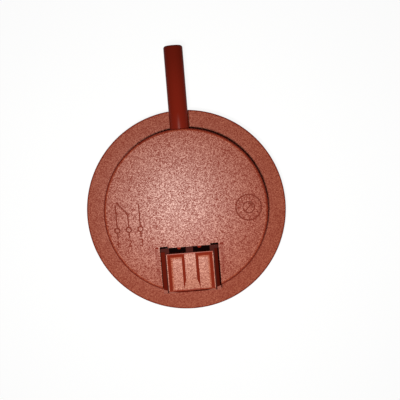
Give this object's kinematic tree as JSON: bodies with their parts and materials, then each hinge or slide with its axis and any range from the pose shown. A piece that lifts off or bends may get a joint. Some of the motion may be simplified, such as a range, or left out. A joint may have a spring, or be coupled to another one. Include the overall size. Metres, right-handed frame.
{
  "type": "dishwasher pressure switch",
  "caption": "Round pressure switch with a hose spigot, a diaphragm chamber, a snap contact inside and a three-pole plug socket.",
  "frame": {"origin": "centre of the disc on its flat back face", "axes": "+Z out of the front face, +Y along the hose spigot, the socket's mouth faces -Y"},
  "size_m": [0.065, 0.0855, 0.0199],
  "materials": {
    "red_case": "spark-eroded",
    "red_carrier": "spark-eroded",
    "seal_rubber": "matt",
    "white_plastic": "satin",
    "spring_steel": "drawn",
    "adjuster_brass": "turned",
    "terminal_brass": "stamped",
    "zinc_steel": "zinc plated",
    "spring_bronze": "rolled",
    "contact_silver": "satin"
  },
  "bodies": {
    "housing": {"front_housing": "red_case", "rear_bowl": "red_case", "contact_carrier": "red_carrier", "diaphragm": "seal_rubber", "duct_seal": "seal_rubber", "range_spring": "spring_steel", "range_adjuster": "adjuster_brass", "terminal_common": "terminal_brass", "terminal_closed": "terminal_brass", "terminal_open": "terminal_brass", "terminal_rivets": "terminal_brass", "pivot_bracket": "terminal_brass", "reset_screw": "zinc_steel", "contact_closed": "contact_silver", "contact_open": "contact_silver"},
    "plunger_set": {"diaphragm_plate": "white_plastic", "plunger": "white_plastic"},
    "arm_set": {"contact_arm": "spring_bronze", "snap_spring": "spring_bronze", "moving_contact": "contact_silver"}
  },
  "joints": [
    {"name": "plunger_stroke", "type": "slide", "parent": "housing", "child": "plunger_set", "axis": [0, 0, 1], "range_m": [0, 0.0004], "deforming": ["diaphragm", "range_spring"]},
    {"name": "arm_swing", "type": "hinge", "parent": "housing", "child": "arm_set", "pos_m": [-0.0124, 0, 0.0149], "axis": [0, -1, 0], "range_deg": [0, 1.85]}
  ],
  "couplings": [
    {"joint": "arm_swing", "follows": "plunger_stroke", "rad_per_m": 80.645}
  ]
}
